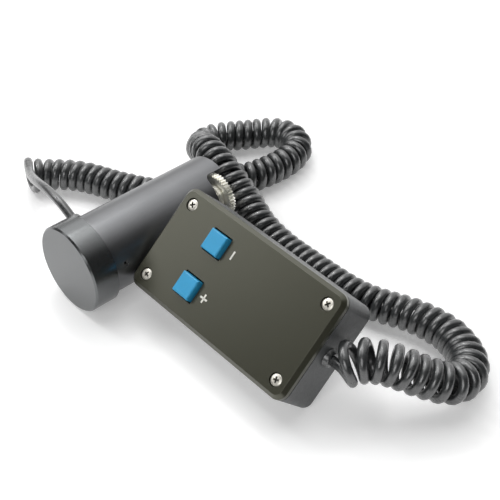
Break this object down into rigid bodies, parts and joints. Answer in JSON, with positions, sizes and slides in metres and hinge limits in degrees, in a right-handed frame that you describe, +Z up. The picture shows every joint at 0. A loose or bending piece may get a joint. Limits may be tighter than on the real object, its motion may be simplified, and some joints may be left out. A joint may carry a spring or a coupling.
{
  "type": "electric focuser hand controller",
  "caption": "Two-button hand controller with a curly cord to a geared motor unit whose toothed wheel turns a telescope's focus knob.",
  "frame": {"origin": "bottom centre of the box round the handset and the motor unit, without the cord", "axes": "+X along the motor unit from its end cap to its drive gear, +Y from the handset's cord end towards the motor unit, +Z up"},
  "size_m": [0.1668, 0.256, 0.0523],
  "materials": {
    "case_plastic": "fine textured charcoal moulding",
    "lid_paint": "satin olive black",
    "nickel_screws": "bright nickel plate",
    "blue_plastic": "satin blue moulding",
    "white_plastic": "natural nylon",
    "steel": "bright steel",
    "black_plastic": "black moulding",
    "board": "green laminate",
    "battery_jacket": "plain printed jacket",
    "red_wire": "wire insulation",
    "grey_wire": "wire insulation",
    "cord_rubber": "satin black cord jacket",
    "black_tube": "satin black anodised tube",
    "black_cap": "turned, black anodised, polished",
    "black_steel": "black oxide",
    "magnet": "dark ferrite",
    "copper": "enamelled windings and copper bars",
    "gear_brass": "cut brass",
    "plate": "plain sheet",
    "nickel_gear": "nickel plated"
  },
  "bodies": {
    "handset_and_motor": {"handset_case": "case_plastic", "handset_lid": "lid_paint", "lid_screws": "nickel_screws", "near_return_spring": "steel", "far_return_spring": "steel", "near_switch_body": "black_plastic", "far_switch_body": "black_plastic", "switch_board": "board", "board_screws": "steel", "block_battery": "battery_jacket", "battery_snap": "black_plastic", "battery_leads": "red_wire", "handset_leads": "grey_wire", "cord_grommet": "cord_rubber", "handset_cord_stub": "cord_rubber", "cord_tie": "white_plastic", "curly_cord": "cord_rubber", "cord_bush": "cord_rubber", "motor_cord_stub": "cord_rubber", "motor_leads": "red_wire", "motor_tube": "black_tube", "end_cap": "black_cap", "cap_set_screws": "black_steel", "motor_can": "steel", "motor_magnets": "magnet", "motor_end_bell": "white_plastic", "motor_screws": "steel", "gearbox_rear_plate": "plate", "gearbox_front_plate": "plate", "gearbox_pillars": "steel", "gear_arbors": "steel", "output_bush": "gear_brass"},
    "near_button": {"near_button_cap": "blue_plastic", "near_plunger": "white_plastic"},
    "far_button": {"far_button_cap": "blue_plastic", "far_plunger": "white_plastic"},
    "drive": {"output_wheel": "gear_brass", "output_shaft": "steel", "drive_gear": "nickel_gear", "drive_gear_screw": "black_steel"},
    "second_cluster": {"second_cluster_gear": "gear_brass"},
    "first_cluster": {"first_cluster_gear": "gear_brass"},
    "rotor": {"rotor_shaft": "steel", "rotor_core": "copper", "commutator": "copper", "motor_pinion": "gear_brass"}
  },
  "joints": [
    {"name": "near_press", "type": "slide", "parent": "handset_and_motor", "child": "near_button", "axis": [0.6561, 0, -0.7547], "range_m": [0, 0.0015], "stiffness_N_per_m": 600, "springref_m": -0.001, "deforming": ["near_return_spring"]},
    {"name": "far_press", "type": "slide", "parent": "handset_and_motor", "child": "far_button", "axis": [0.6561, 0, -0.7547], "range_m": [0, 0.0015], "stiffness_N_per_m": 600, "springref_m": -0.001, "deforming": ["far_return_spring"]},
    {"name": "drive_spin", "type": "hinge", "parent": "handset_and_motor", "child": "drive", "pos_m": [0.0225, 0.03938, 0.02703], "axis": [0.9996, 0, -0.0269], "continuous": true},
    {"name": "second_cluster_spin", "type": "hinge", "parent": "handset_and_motor", "child": "second_cluster", "pos_m": [0.0225, 0.04688, 0.02703], "axis": [0.9996, 0, -0.0269], "continuous": true},
    {"name": "first_cluster_spin", "type": "hinge", "parent": "handset_and_motor", "child": "first_cluster", "pos_m": [0.02247, 0.05583, 0.02609], "axis": [0.9996, 0, -0.0269], "continuous": true},
    {"name": "rotor_spin", "type": "hinge", "parent": "handset_and_motor", "child": "rotor", "pos_m": [0.02231, 0.04915, 0.02006], "axis": [0.9996, 0, -0.0269], "continuous": true}
  ],
  "couplings": [
    {"joint": "second_cluster_spin", "follows": "drive_spin", "ratio": -2},
    {"joint": "first_cluster_spin", "follows": "drive_spin", "ratio": 5.2},
    {"joint": "rotor_spin", "follows": "drive_spin", "ratio": -13.52}
  ]
}
